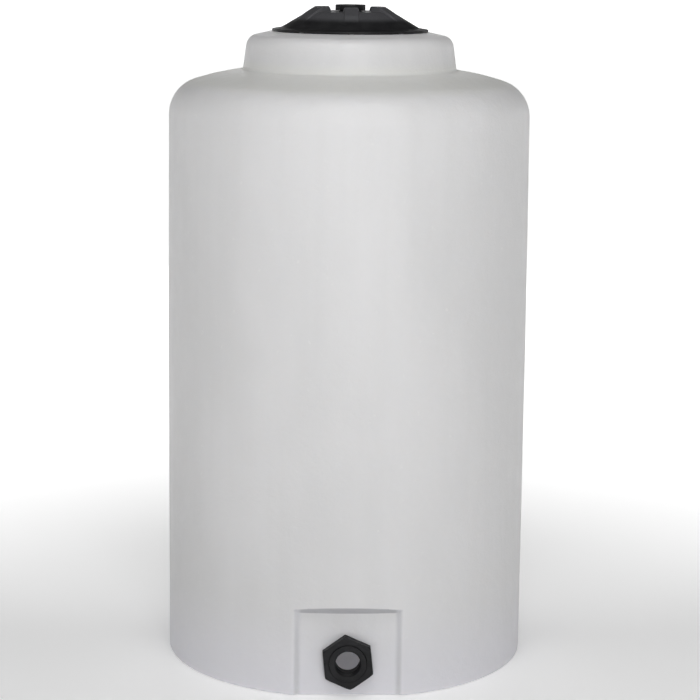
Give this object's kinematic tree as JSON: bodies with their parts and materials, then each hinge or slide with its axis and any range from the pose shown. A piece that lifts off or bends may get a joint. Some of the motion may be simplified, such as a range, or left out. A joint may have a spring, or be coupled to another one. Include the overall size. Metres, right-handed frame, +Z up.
{
  "type": "vertical storage tank",
  "caption": "Upright translucent plastic storage tank with a raised neck, a vented screw lid and a hexagonal threaded outlet fitting in a flat recess at the foot.",
  "frame": {"origin": "centre of the tank's round bottom, on the surface that it stands on", "axes": "+Z up along the tank's axis, -Y out of the outlet fitting, +X to the right seen from the front"},
  "size_m": [0.584, 0.584, 1.0579],
  "materials": {
    "tank": "natural translucent polyethylene, satin, rotationally moulded",
    "lid": "black moulded polypropylene, satin",
    "vent": "black moulded polypropylene, satin",
    "fitting": "black moulded polypropylene, satin",
    "rubber": "black rubber sheet, matt",
    "steel": "stainless steel"
  },
  "bodies": {
    "tank": {"tank_shell": "tank", "bulkhead_body": "fitting", "bulkhead_gasket": "rubber", "bulkhead_nut": "fitting", "lid_ring": "lid", "ring_gasket": "rubber", "ring_screw_1": "steel", "ring_screw_2": "steel", "ring_screw_3": "steel", "ring_screw_4": "steel", "ring_screw_5": "steel", "ring_screw_6": "steel", "ring_screw_7": "steel", "ring_screw_8": "steel"},
    "lid_seal": {"lid_gasket": "rubber"},
    "lid": {"lid": "lid", "vent_cap": "vent", "vent_screen": "steel", "vent_retainer": "vent"},
    "poppet": {"vent_poppet": "vent"}
  },
  "joints": [
    {"name": "lid_rise", "type": "slide", "parent": "tank", "child": "lid_seal", "axis": [0, 0, 1], "range_m": [0, 0.027]},
    {"name": "lid_turn", "type": "hinge", "parent": "lid_seal", "child": "lid", "pos_m": [0, 0, 1.0164], "axis": [0, 0, 1], "range_deg": [0, 1080]},
    {"name": "poppet_lift", "type": "slide", "parent": "lid", "child": "poppet", "axis": [0, 0, 1], "range_m": [0, 0.004]}
  ],
  "couplings": [
    {"joint": "lid_rise", "follows": "lid_turn", "m_per_rad": 0.0014323}
  ]
}
